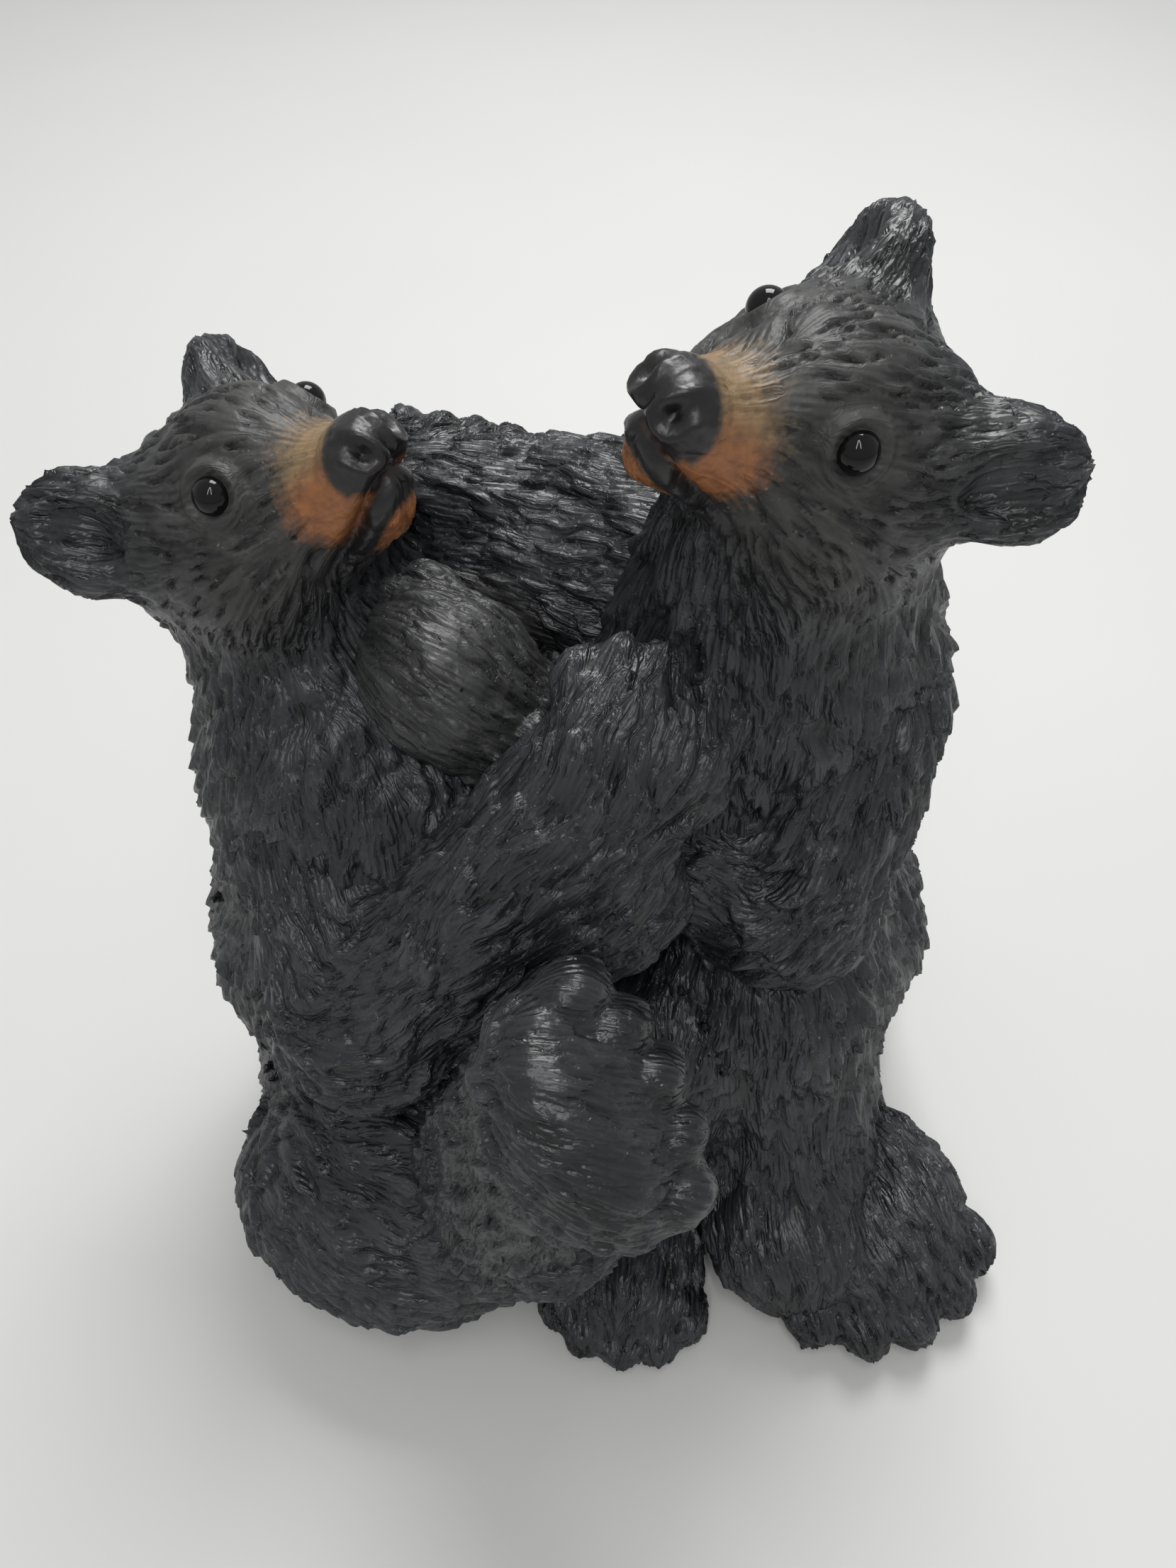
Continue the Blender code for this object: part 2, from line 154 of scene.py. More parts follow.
# %% A head and a paw, the same for both cubs
CLAW_RADII = (1.8, 1.1)
TOES = 5
TOE_TURN = 0.42


def add_head(cub, group):
    """Skull, brow, cheeks, muzzle, jaw, nose and two cupped ears, from the head's centre."""
    axes = cub.head_axes

    def at(x, y, z):
        return cub.head + np.array([x, y, z]) @ axes

    back = -axes[0]
    cub.ball(group, at(-2, 0, 0), (19, 18.5, 17), 8, axes, back)
    cub.ball(group, at(9, 0, 5), (13, 12.5, 11.6), 6, axes, back)
    for side in (-1, 1):
        cub.ball(group, at(3, side * 10, -6), (13, 9, 11), 6, axes, back)
    cub.limb(group, at(13, 0, -2), at(28, 0, -3), (10.5, 7.0), 5, back)
    cub.limb(group, at(8, 0, -9), at(28, 0, -9.0), (7.5, 3.9), 2, back)
    cub.ball(group, at(32.3, 0, -0.6), (4.9, 5.7, 4.7), 3.0, axes, back)
    for side in (-1, 1):
        ear_forward = axes[0] * 0.8 + axes[1] * side * 0.5
        ear_axes = axes_from(ear_forward, axes[2] * 0.75 + axes[1] * side * 0.65)
        ear = at(-8, side * 18, 14)
        cub.limb(group, at(-5, side * 9, 6), at(-8, side * 15.5, 12), (11, 8), 6, ear_axes[2])
        cub.ball(group, ear, (5.2, 9.5, 9.8), 4, ear_axes, ear_axes[2])
        cub.hollow(ear + ear_axes[0] * 7.2 + ear_axes[2] * 1.5, (4.2, 5.8, 6.3), ear_axes)


def add_paw(cub, group, centre, forward, up, size, toe_radius=4.6, blend=5.0, end="plain"):
    """A broad paw: one flat mass with five toes in an arc along its front.

    Its end says more: claws, pads, knuckles along its back, or plain. A fine one has short fur.
    """
    axes = axes_from(forward, up)
    centre = np.array(centre, float)
    length, width, depth = size
    cub.ball(group, centre, size, blend, axes, axes[0])
    for toe in range(TOES):
        turn = (toe - (TOES - 1) / 2) * TOE_TURN
        reach = (length - toe_radius * 0.35) * math.cos(turn)
        across = (width + toe_radius * 0.1) * math.sin(turn)
        place = centre + axes[0] * reach + axes[1] * across - axes[2] * depth * 0.15
        outward = unit(axes[0] * math.cos(turn) + axes[1] * math.sin(turn) * 0.6 - axes[2] * 0.5)
        cub.ball(group, place, (toe_radius * 1.25, toe_radius, toe_radius), 1.6, axes, axes[0])
        cub.toes.append((place, np.full(3, toe_radius), axes))
        if end == "claws":
            root = place + outward * toe_radius * 0.7
            cub.limb(group, root, root + outward * toe_radius * 0.4, CLAW_RADII, 0.6)
        if end == "pads":
            pad = place - axes[2] * toe_radius * 0.45
            cub.ball(group, pad, np.array([1.0, 0.8, 0.75]) * toe_radius, 0.6, axes, axes[1])
            cub.soles.append((pad, np.array([1.0, 0.8, 0.75]) * toe_radius, axes))
    if end == "knuckles":
        for step in (-1.5, -0.5, 0.5, 1.5):
            place = centre + axes[0] * step * 6 + axes[2] * depth * 0.8
            cub.ball(group, place, (3.6, 5.0, 3.6), 1.2, axes, axes[1])
            cub.toes.append((place, np.array([3.6, 5.0, 3.6]), axes))
    if end == "fine":
        cub.fine.append((centre, np.array(size) * 1.15, axes))
    if end == "pads":
        pad = centre - axes[2] * depth * 0.55 - axes[0] * length * 0.15
        radii = np.array(size) * (0.62, 0.70, 0.46)
        cub.ball(group, pad, radii, 1.5, axes, axes[1])
        cub.soles.append((pad, radii, axes))


# %% The cub that sits on its rump, leans back and raises one foot
def sitting_cub():
    """Rump, chest and neck first, then the thighs, feet and arms, and the head last."""
    cub = Cub("sitting_cub", (-51, 24, 136), (0.65, -0.41, 0.64), (-0.44, 0.13, 0.87))
    body = "body"
    cub.ball(body, (-35, 0, 30), (33, 30, 34))
    cub.ball(body, (-44, 2, 56), (28, 28, 27), 12)
    cub.ball(body, (-42, 9, 80), (25.5, 26, 26), 12)
    cub.ball(body, (-42, 15, 99), (24, 26, 21), 10)
    cub.ball(body, (-25, 2, 82), (22, 20, 26), 10)
    cub.ball(body, (-24, 22, 84), (22, 22, 28), 10)
    cub.ball(body, (-18, -14, 62), (22, 18, 20), 8)
    cub.ball(body, (-34, 37, 111), (13, 12, 13), 8)
    cub.ball(body, (-5, 14, 48), (22, 22, 36), 8)
    cub.ball(body, (-5, 13, 88), (16, 20, 20), 8)
    cub.limb(body, (-42, 18, 104), (-52, 25, 126), (20.5, 18), 10, (0.5, 0, -1))
    cub.ball(body, (-35, -33, 23), (33, 29, 28), 8, flow=(0.8, -0.2, -0.5))
    cub.limb(body, (-24, -39, 31), (-8, -46, 44), (23, 18), 8)
    cub.ball(body, (-24, 28, 24), (30, 24, 28), 8, flow=(0.8, 0.3, -0.5))
    cub.limb(body, (-18, 34, 28), (-4, 44, 22), (19, 13), 8)
    add_paw(cub, "far foot", (8, 46, 6.5), (0.95, 0.3, 0.0), (0, 0, 1), (18, 13, 9), 4.2)
    cub.limb("shin", (-13, -43, 42), (-5, -49, 82), (20, 15.5))
    add_paw(cub, "shin", (-1.5, -54, 92), (0.80, 0.50, 0.10), (-0.20, 0.60, -0.75), (12.5, 21, 11), 5.2,
            end="pads")
    cub.limb("arm", (-46, 2, 90), (-38, -24, 66), (16.5, 15))
    cub.limb("arm", (-38, -24, 66), (-3, -13, 104), (15, 16), 6)
    cub.limb("arm", (-30, -22, 66), (2, -14, 90), (12, 15), 6)
    add_paw(cub, "arm", (7, -10, 118), (0.30, 0.62, 0.70), (0, -0.70, 0.70), (14, 15, 10), 4.4)
    cub.limb("far arm", (-38, 34, 98), (-12, 50, 86), (15, 13))
    cub.limb("far arm", (-12, 50, 86), (16, 47, 96), (13, 11))
    add_paw(cub, "far arm", (26, 46, 101), (0.9, -0.1, 0.42), (0.1, 1, 0), (13, 12, 8), 4.0)
    add_head(cub, body)
    return cub


# %% The cub that stands half squatting and leans over the other
def standing_cub():
    """The same order: trunk, legs, tail, feet, arms and the head."""
    cub = Cub("standing_cub", (32, 13, 157), (-0.66, -0.54, 0.50), (0.62, 0.00, 0.78))
    body = "body"
    cub.ball(body, (38, 20, 31), (31, 30, 35))
    cub.ball(body, (33, 15, 60), (28, 28, 28), 12)
    cub.ball(body, (32, 16, 88), (27, 28, 28), 12)
    cub.ball(body, (30, 18, 112), (27, 27, 24), 10)
    cub.ball(body, (13, 8, 88), (22, 20, 30), 10)
    cub.ball(body, (12, 28, 92), (22, 20, 28), 10)
    cub.limb(body, (30, 18, 120), (30, 15, 140), (25, 21), 10, (0, 0, -1))
    cub.limb(body, (46, 8, 46), (34, -10, 56), (22, 20), 8, (0, -0.3, -1))
    cub.limb(body, (34, -10, 56), (40, -24, 24), (20, 18), 8)
    cub.ball(body, (40, -40, 12), (18, 18, 16), 8, flow=(0.2, -0.8, -0.4))
    cub.limb(body, (16, 6, 42), (10, -20, 48), (22, 17), 8)
    cub.limb(body, (10, -20, 48), (8, -34, 16), (16, 13), 6)
    cub.ball(body, (62, 42, 34), (7, 6, 9), 5, flow=(0.3, 0.3, -1))
    add_paw(cub, "near foot", (54, -36, 10), (0.38, -0.92, -0.05), (0, 0, 1), (23, 23, 13), 6.0, 8,
            "claws")
    add_paw(cub, "far foot", (8, -43, 8), (-0.10, -0.99, -0.05), (0, 0, 1), (19, 16, 11), 4.8)
    cub.limb("arm", (41, 8, 108), (34, -8, 80), (18, 16))
    cub.limb("arm", (34, -8, 80), (0, 2, 98), (15, 13))
    cub.limb("arm", (0, 2, 98), (-20, 7, 114), (13, 12.5))
    add_paw(cub, "arm", (-23, 9, 117), (-0.80, 0.35, 0.35), (0, -0.64, 0.77), (14, 14, 12), 4.2,
            end="fine")
    cub.limb("far arm", (14, 34, 122), (-12, 42, 122), (17, 14))
    cub.limb("far arm", (14, 28, 112), (-18, 35, 113), (18, 14))
    add_paw(cub, "far arm", (-23, 46, 127), (-0.95, 0.1, 0.1), (0, 0.5, 0.86), (12, 12, 9), 3.8,
            end="knuckles")
    add_head(cub, body)
    return cub


# %% [markdown]
# Two pieces to a cub
#
# Each cub is split where its limbs are pressed onto its body. One mesh for both cubs would be simpler,
# but at the TRIANGLES triangles that each piece is thinned to, it would be too coarse for the locks.

# %% Body and limbs
class Piece:
    """The body with the head, or the limbs, of one cub."""

    def __init__(self, cub, name, masses, hollows):
        self.cub = cub
        self.name = f"{cub.name}_{name}"
        self.masses = masses
        self.hollows = hollows


def pieces_of(cub):
    """The masses of the group named body, and all the others."""
    body = [mass for mass in cub.masses if mass[1] == "body"]
    limbs = [mass for mass in cub.masses if mass[1] != "body"]
    return [Piece(cub, "body", body, cub.hollows), Piece(cub, "limbs", limbs, [])]


CUBS = (sitting_cub(), standing_cub())
PIECES = [piece for cub in CUBS for piece in pieces_of(cub)]
print("masses:", {piece.name: len(piece.masses) for piece in PIECES})


# %% [markdown]
# From masses to a distance
#
# For any point in space, each mass says how far away its surface is. The smallest answer is the
# distance to the whole cub. Where two answers are close, the smaller one is rounded off, which is the
# fillet that a thumb leaves in clay.

# %% Distance to one mass and to the whole cub
CREASE = 1.2
REACH = 22
FAR = 60.0


def ellipsoid_distance(points, centre, radii, axes):
    """Near the surface: k (k - 1) / |gradient|, where k is the scaled distance from the centre."""
    local = (points - centre) @ axes.T / radii
    scaled = np.linalg.norm(local, axis=1)
    return scaled * (scaled - 1) / (np.linalg.norm(local / radii, axis=1) + 1e-9)


def limb_distance(points, start, end, radii):
    """Distance from the limb's axis less the radius at that place along it."""
    axis = end - start
    along = np.clip((points - start) @ axis / (axis @ axis), 0, 1)
    reach = np.linalg.norm(points - start - along[:, None] * axis, axis=1)
    return reach - radii[0] - along * (radii[1] - radii[0])


def soft_union(first, second, blend):
    """The smaller of two distances, rounded over where they are less than blend apart."""
    share = np.clip(0.5 + 0.5 * (second - first) / blend, 0, 1)
    return second * (1 - share) + first * share - blend * share * (1 - share)


def mass_distance(points, mass):
    """The points within REACH of a mass, and their distances from it."""
    kind, _, _, _, first, second, third = mass
    middle, bound = first, second.max()
    if kind == "limb":
        middle, bound = (first + second) / 2, np.linalg.norm(second - first) / 2 + third.max()
    near = np.flatnonzero(np.sum((points - middle) ** 2, axis=1) < (bound + REACH) ** 2)
    measure = ellipsoid_distance if kind == "ball" else limb_distance
    return near, measure(points[near], first, second, third)


def piece_distance(piece, points):
    """Soft union inside each group, then a tighter one between groups, less the hollows and the floor."""
    groups = {}
    for mass in piece.masses:
        near, distance = mass_distance(points, mass)
        whole = groups.setdefault(mass[1], np.full(len(points), FAR))
        whole[near] = soft_union(whole[near], distance, mass[2])
    total = np.full(len(points), FAR)
    for distance in groups.values():
        total = soft_union(total, distance, CREASE)
    for blend, centre, radii, axes in piece.hollows:
        near = np.flatnonzero(np.linalg.norm(points - centre, axis=1) < radii.max() + REACH)
        scoop = ellipsoid_distance(points[near], centre, radii, axes)
        total[near] = -soft_union(-total[near], scoop, blend)
    return np.maximum(total, -points[:, 2])


# %% [markdown]
# The skin of a cub
#
# The skin could be marched out of the distances cell by cell. It is quicker to give each mass a grid
# of its own, join the grids with Blender's voxel remesh, and then slide every point along its normal
# by its distance, until it lies on the soft union. Subdivision then makes the skin fine enough to
# carry the fur.

# %% Grids of two parameters
RINGS = 14
SPOKES = 22


def two_angles(rings, spokes):
    """v from pole to pole, once for each ring, and u around, once for each spoke."""
    return np.meshgrid(np.linspace(0, np.pi, rings), np.arange(spokes) * 2 * np.pi / spokes, indexing="ij")


def ball_grid(centre, radii, axes, rings=RINGS, spokes=SPOKES):
    """centre + axes (sin v cos u, sin v sin u, cos v) radii, for v from pole to pole and u around."""
    v, u = two_angles(rings, spokes)
    local = np.stack([np.sin(v) * np.cos(u), np.sin(v) * np.sin(u), np.cos(v)], axis=-1)
    return centre + (local * radii) @ axes


def limb_grid(start, end, radii):
    """A round cone: rings of radius r sin v, set r cos v outside the start and then outside the end."""
    frame_axes = axes_from(end - start, (0.31, 0.52, 0.79))
    v, u = two_angles(RINGS, SPOKES)
    first_half = v < np.pi / 2
    radius = np.where(first_half, radii[0], radii[1])
    ring = radius * np.sin(v)
    local = np.stack([-radius * np.cos(v), ring * np.cos(u), ring * np.sin(u)], axis=-1)
    return np.where(first_half[..., None], start, end) + local @ frame_axes


def grid_quads(rows, columns, first=0):
    """Quads between neighbouring rows and columns, closed around the columns."""
    row, column = np.meshgrid(np.arange(rows - 1), np.arange(columns), indexing="ij")
    beside = (column + 1) % columns
    corners = [row * columns + column, (row + 1) * columns + column,
               (row + 1) * columns + beside, row * columns + beside]
    return np.stack(corners, axis=-1).reshape(-1, 4) + first


# %% Moving between meshes and arrays
def read_points(mesh):
    """All places and normals of a mesh, as two arrays."""
    points = np.empty(len(mesh.vertices) * 3)
    normals = np.empty(len(mesh.vertices) * 3)
    mesh.vertices.foreach_get("co", points)
    mesh.vertices.foreach_get("normal", normals)
    return points.reshape(-1, 3), normals.reshape(-1, 3)


def write_points(mesh, points):
    """Moves every vertex of a mesh to its new place."""
    mesh.vertices.foreach_set("co", points.ravel())
    mesh.update()


def store(mesh, name, values):
    """One number or one vector at each vertex, as an attribute."""
    kind, field = ("FLOAT", "value") if values.ndim == 1 else ("FLOAT_VECTOR", "vector")
    mesh.attributes.new(name, kind, "POINT").data.foreach_set(field, values.astype(np.float32).ravel())


def through_modifier(meshes, kind, settings, weights=None):
    """New meshes: each old one put through one modifier. All are worked out together, side by side."""
    things = []
    for index, mesh in enumerate(meshes):
        thing = bpy.data.objects.new("bench", mesh)
        bpy.context.scene.collection.objects.link(thing)
        modifier = thing.modifiers.new("step", kind)
        for setting, value in settings.items():
            setattr(modifier, setting, value)
        if weights is not None:
            group = thing.vertex_groups.new(name="weights")
            for value in np.unique(weights[index]):
                group.add(np.flatnonzero(weights[index] == value).tolist(), float(value), "REPLACE")
            modifier.vertex_group = group.name
            modifier.ratio = TRIANGLES / (len(mesh.loops) - 2 * len(mesh.polygons))
        things.append(thing)
    graph = bpy.context.evaluated_depsgraph_get()
    made = [bpy.data.meshes.new_from_object(thing.evaluated_get(graph)) for thing in things]
    for thing, mesh in zip(things, meshes):
        bpy.data.objects.remove(thing, do_unlink=True)
        bpy.data.meshes.remove(mesh)
    return made


# %% The smooth skins
COARSE = 1.5
FINER = 2


def joined_grids(piece):
    """The grids of all masses in one mesh."""
    shapes = {"ball": ball_grid, "limb": limb_grid}
    grids = [shapes[mass[0]](*mass[4:]).reshape(-1, 3) for mass in piece.masses]
    quads = [grid_quads(RINGS, SPOKES, index * RINGS * SPOKES) for index in range(len(grids))]
    mesh = bpy.data.meshes.new(piece.name)
    mesh.from_pydata(np.concatenate(grids).tolist(), [], np.concatenate(quads).tolist())
    return mesh


def settle(piece, mesh, steps):
    """Each point moves along its normal by its distance from the piece: point - normal distance."""
    for _ in range(steps):
        points, normals = read_points(mesh)
        gap = np.clip(in_chunks(lambda some: piece_distance(piece, some), points), -COARSE, COARSE)
        write_points(mesh, points - normals * gap[:, None])


skins = [joined_grids(piece) for piece in PIECES]
skins = through_modifier(skins, "REMESH", {"mode": "VOXEL", "voxel_size": COARSE})
skins = through_modifier(skins, "SMOOTH", {"factor": 0.5, "iterations": 5})
for piece, skin in zip(PIECES, skins):
    settle(piece, skin, 6)
skins = through_modifier(skins, "SUBSURF", {"levels": FINER, "render_levels": FINER})
for piece, skin in zip(PIECES, skins):
    settle(piece, skin, 2)
print("points of the skins:", {piece.name: len(skin.vertices) for piece, skin in zip(PIECES, skins)})


# %% [markdown]
# Fur that was carved in clay
#
# The sculptor's tool left three scales: broad overlapping locks, small tufts inside them, and single
# scratches that run to the tip of each tuft. Hair strands would be wrong here, because this fur is a
# surface, and particles would be lost in the export. So the fur is a height over the skin. Space is
# cut into cubes with two locks in each, at random places, and every point asks the cubes around it
# which lock stands highest there. The scratches follow from where the point lies across that lock.

# %% The lie of the fur
FLOW_FADE = 3.0
STRAY, STRAY_LENGTH = 0.35, 17.0


def lie_of_fur(piece, points, normals):
    """The flows of the nearest masses, weighted by exp(-distance / fade), laid flat on the skin."""
    flow = np.zeros(points.shape)
    for mass in piece.masses:
        near, distance = mass_distance(points, mass)
        flow[near] += np.exp(-np.clip(distance, -FLOW_FADE, None) / FLOW_FADE)[:, None] * mass[3]
    flow += STRAY * waves(points, STRAY_LENGTH, 3)
    flow -= normals * along_axis(flow, normals)[:, None]
    return unit(flow)


def side_of_fur(piece, points, normals):
    """The way across the fur: normal x flow."""
    return np.cross(normals, lie_of_fur(piece, points, normals))


def waves(points, length, seed):
    """Three smooth random numbers a point: sums of sines of the given length in random directions."""
    random = np.random.default_rng(seed)
    sums = np.zeros(points.shape)
    for octave in range(4):
        directions = unit(random.normal(size=(3, 3))) * 2 * np.pi / (length * random.uniform(0.7, 1.4))
        sums += np.sin(points @ directions.T + random.uniform(0, 2 * np.pi, 3))
    return sums / 4


# %% Locks
TABLE = 32


def locks(points, normals, flow, length, width, seed):
    """The highest lock at each point: its height, where the point lies across it, and its number.

    A lock is a tongue along the flow. Across it the height is 1 - w w, with w from -1 to 1 over its
    tapered width. Along it the height swells from the root to just short of the tip.
    """
    cell = length * 0.55
    random = np.random.default_rng(seed).random((TABLE, TABLE, TABLE, 2, 6))
    side = np.cross(normals, flow)
    address = np.floor(points / cell).astype(int)
    height = np.zeros(len(points))
    across = np.zeros(len(points))
    number = np.zeros(len(points))
    for offset in np.ndindex(3, 3, 3):
        cube = address + np.array(offset) - 1
        values = random[tuple((cube % TABLE).T)]
        for lock in range(2):
            chance = values[:, lock]
            away = points - (cube + chance[:, :3]) * cell
            u = along_axis(away, flow) / (length * (0.8 + 0.4 * chance[:, 3]))
            taper = np.clip(1.05 - np.abs(u + 0.15) ** 1.5 * 1.9, 0.05, 1)
            w = (along_axis(away, side) + (chance[:, 4] - 0.5) * u * width) * 2 / (width * taper)
            swell = np.clip(0.45 + 0.9 * u, 0, 1) * np.clip((0.55 - u) / 0.14, 0, 1)
            deep = np.clip(1.3 - np.abs(along_axis(away, normals)) / cell, 0, 1)
            here = np.clip(1 - w * w, 0, 1) * swell * deep * (0.75 + 0.25 * chance[:, 5])
            wins = here > height
            height[wins] = here[wins]
            across[wins] = w[wins]
            number[wins] = chance[wins, 5]
    return height, across, number


def scratches(across, number, count):
    """Rounded strands with sharp gaps, |sin(pi s)| to the power 0.7, with s counting them across a lock."""
    strand = (across * 0.5 + number * 7) * count
    return np.abs(np.sin(np.pi * strand)) ** 0.7


# %% The whole coat
BROAD = (16.0, 8.5, 2.7)
TUFT = (9.5, 2.7, 1.3)
NICK = (6.0, 1.7, 1.2)
SCRATCHES, SCRATCH_DEPTH = 1.3, 0.30
EYE_PLACE = np.array([12.5, 9.8, 6.3])
EAR_PLACE = np.array([-8.0, 18.0, 14.0])
LUMP_LENGTH, LUMP_DEPTH = 18.0, 0.9


def coat_depth(cub, points):
    """How deep the fur is cut: full on the body, less on the skull and pads, hardly at all on the face."""
    local = cub.in_head(points)
    away = np.linalg.norm(local, axis=1)
    ear = 1 - ease(np.linalg.norm(np.abs(local) - np.abs(EAR_PLACE), axis=1), 9, 13)
    face = ease(local[:, 0], -4, 9) * (1 - ease(away, 36, 43)) * ease(local[:, 2], -18, -9)
    skull = (1 - ease(away, 20, 32)) * (1 - ear)
    depth = (1 - 0.9 * face) * (1 - 0.5 * skull) * (1 - 0.45 * ear)
    for places, share in ((cub.soles, 0.55), (cub.toes, 0.5), (cub.fine, 0.55)):
        for centre, radii, axes in places:
            depth *= 1 - share * (1 - ease(ellipsoid_distance(points, centre, radii, axes), 0.5, 2.5))
    return depth


def fur_height(piece, points, normals):
    """Millimetres above the skin, and a measure from 0 in the gaps to 1 on the strands."""
    cub = piece.cub
    flow = lie_of_fur(piece, points, normals)
    bent = points + waves(points, 6.0, 11) * 0.6
    broad, _, _ = locks(bent, normals, flow, *BROAD[:2], 21)
    tuft, across, number = locks(bent, normals, flow, *TUFT[:2], 22)
    nick, _, which = locks(points, normals, flow, *NICK[:2], 23)
    strand = scratches(across, number, SCRATCHES)
    depth = coat_depth(cub, points)
    lift = (broad - 0.5) * BROAD[2] * depth + (tuft - 0.5) * TUFT[2] * depth
    lift += waves(points, LUMP_LENGTH, 5)[:, 0] * LUMP_DEPTH * depth
    lift += (strand - 0.8) * SCRATCH_DEPTH * (0.12 + 0.88 * depth) * (0.5 + 0.5 * tuft)
    dash = nick * (which > 0.5) * np.clip(1.4 * (1 - depth), 0, 1)
    local = cub.in_head(points)
    local[:, 1] = np.abs(local[:, 1])
    dash *= ease(np.linalg.norm(local - EYE_PLACE, axis=1), 5, 8) * (1 - 0.7 * ease(local[:, 0], 16, 26))
    lift -= dash * NICK[2]
    # The second number becomes painted shade and painted highlight in the paint: low in the gaps and carved
    # nicks, high on the strands and lock tops.
    return lift, np.clip(0.4 * broad + 0.35 * tuft + 0.25 * strand - 0.8 * dash, 0, 1)


# %% [markdown]
# Faces
#
# Smooth skin with shallow strokes: a ring round each eye, a brow, a slit for the mouth with rounded
# lips, two comma-shaped nostrils and a groove under the nose. Each is a height in the head's own
# millimetres, so that both cubs share it.

# %% Strokes on a face
EYE_GAZE = np.array([0.72, 0.62, 0.34])
BEAD_RADIUS = 2.8
BEAD_SHOWING = 2.1
MOUTH_FRONT = 34.0
MOUTH_CORNER = 15.0


def bell(distance, width):
    """exp(-(distance / width)^2): 1 on a line, and nearly 0 at twice the width."""
    return np.exp(-(distance / width) ** 2)


def mouth_height(x):
    """Height of the mouth line in the head at x: it falls towards the corner."""
    return -5.4 - 0.36 * (MOUTH_FRONT - x)


def face_strokes(local, eyes):
    """Height in millimetres of every stroke at points of a head. A left and a right side are alike."""
    x, y, z = local[:, 0], np.abs(local[:, 1]), local[:, 2]
    lift = np.zeros(len(local))
    for eye in eyes:
        ring = np.linalg.norm(local - eye, axis=1)
        lift += 0.7 * bell(ring - 3.9, 0.75)
        lift -= 0.4 * bell(ring - 5.9, 1.1)
    in_mouth = ease(x, MOUTH_CORNER - 1, MOUTH_CORNER + 2)
    from_slit = z - mouth_height(x)
    lift -= (1.3 + 0.9 * ease(x, 20, 32)) * bell(from_slit, 0.75) * in_mouth
    lift += 0.45 * bell(from_slit + 1.8, 0.8) * in_mouth
    lift += 0.30 * bell(from_slit - 2.1, 1.0) * in_mouth
    nostril = np.hypot(y - 3.4, (z - 0.4 + (x - 35) * 0.5) / 1.5)
    lift -= 1.9 * bell(nostril, 0.95) * ease(x, 32, 34)
    lift += 0.45 * bell(nostril - 1.9, 0.55) * ease(x, 32, 34)
    lift -= 0.7 * bell(y, 0.5) * ease(x, 30, 33) * (1 - ease(z, -1.5, 0.5))
    lift -= 0.2 * bell(x - 28.4, 0.8) * (1 - ease(y, 5, 7)) * ease(z, 0, 3)
    return lift


# %% Where the beads sit
def bead_centres(cub, body):
    """Each bead is moved along its gaze until BEAD_SHOWING of it stands out of the face."""
    places = {}
    for side_name, side in (("left", 1), ("right", -1)):
        mirrored = np.array([1, side, 1])
        centre = cub.head + (EYE_PLACE * mirrored) @ cub.head_axes
        gaze = unit((EYE_GAZE * mirrored) @ cub.head_axes)
        for _ in range(12):
            gap = piece_distance(body, centre[None])[0]
            centre = centre + gaze * (BEAD_SHOWING - BEAD_RADIUS - gap)
        places[side_name] = centre
    return places


BEADS = {piece.cub.name: bead_centres(piece.cub, piece) for piece in PIECES if piece.hollows}
NODE_SIDE = {"sitting_cub": "left_cub", "standing_cub": "right_cub"}
slides = []
for cub in CUBS:
    for side_name, place in BEADS[cub.name].items():
        low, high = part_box(f"{NODE_SIDE[cub.name]}_{side_name}_eye")
        slides.append((np.array(low) + np.array(high)) / 2 - place * MM)
SLIDE = np.mean(slides, axis=0)
SPREAD = np.ptp(slides, axis=0)
print("slide of the casting, mm:", np.round(SLIDE / MM, 3), "spread:", np.round(SPREAD / MM, 3))


# %% [markdown]
# Carving the pieces
#
# Fur and strokes are added to the skin as heights along its normals. The skin then has far more
# triangles than it needs, so a decimation follows, which spends them where the surface bends. It keeps
# more on the faces, and few where a piece is hidden inside another.

# %% Skin, fur and strokes
TRIANGLES = 198000
FACE_WEIGHT, COAT_WEIGHT, HIDDEN_WEIGHT = 0.25, 0.6, 1.0
FACE_MIDDLE, FACE_REACH = (18, 0, 0), 24
STROKE_MIDDLE, STROKE_REACH = (20, 0, 0), 26
ON_THE_FLOOR = 0.05
WELL_INSIDE = -2.5
THINNING = {"vertex_group_factor": 0.3, "use_collapse_triangulate": True}


def carve(piece, mesh):
    """Fur and strokes go onto the skin. The underside stays flat."""
    cub = piece.cub
    points, normals = read_points(mesh)
    lift, relief = in_chunks(lambda *some: fur_height(piece, *some), points, normals)
    local = cub.in_head(points)
    near = np.linalg.norm(local - STROKE_MIDDLE, axis=1) < (STROKE_REACH if piece.hollows else 0)
    eyes = [cub.in_head(place[None])[0] for place in BEADS[cub.name].values()]
    lift[near] += face_strokes(local[near], eyes)
    shaped = points + normals * lift[:, None]
    shaped[:, 2] = np.where(points[:, 2] < ON_THE_FLOOR, 0, np.maximum(shaped[:, 2], 0))
    # The relief attribute carries painted shade and painted highlight into the colour: darker in the gaps
    # and nicks, lighter on the strands.
    store(mesh, "relief", relief)
    write_points(mesh, shaped)


def weights_of(piece, mesh):
    """Low weights keep more triangles: low on the face, high where the piece is inside another."""
    points, _ = read_points(mesh)
    weight = np.full(len(points), COAT_WEIGHT)
    local = piece.cub.in_head(points)
    weight[np.linalg.norm(local - FACE_MIDDLE, axis=1) < FACE_REACH] = FACE_WEIGHT
    for other in PIECES:
        if other is not piece:
            inside = in_chunks(lambda some: piece_distance(other, some), points) < WELL_INSIDE
            weight[inside] = HIDDEN_WEIGHT
    return weight


for piece, skin in zip(PIECES, skins):
    carve(piece, skin)
weights = [weights_of(piece, skin) for piece, skin in zip(PIECES, skins)]
shells = through_modifier(skins, "DECIMATE", THINNING, weights)
print("triangles:", {piece.name: len(shell.polygons) for piece, shell in zip(PIECES, shells)})


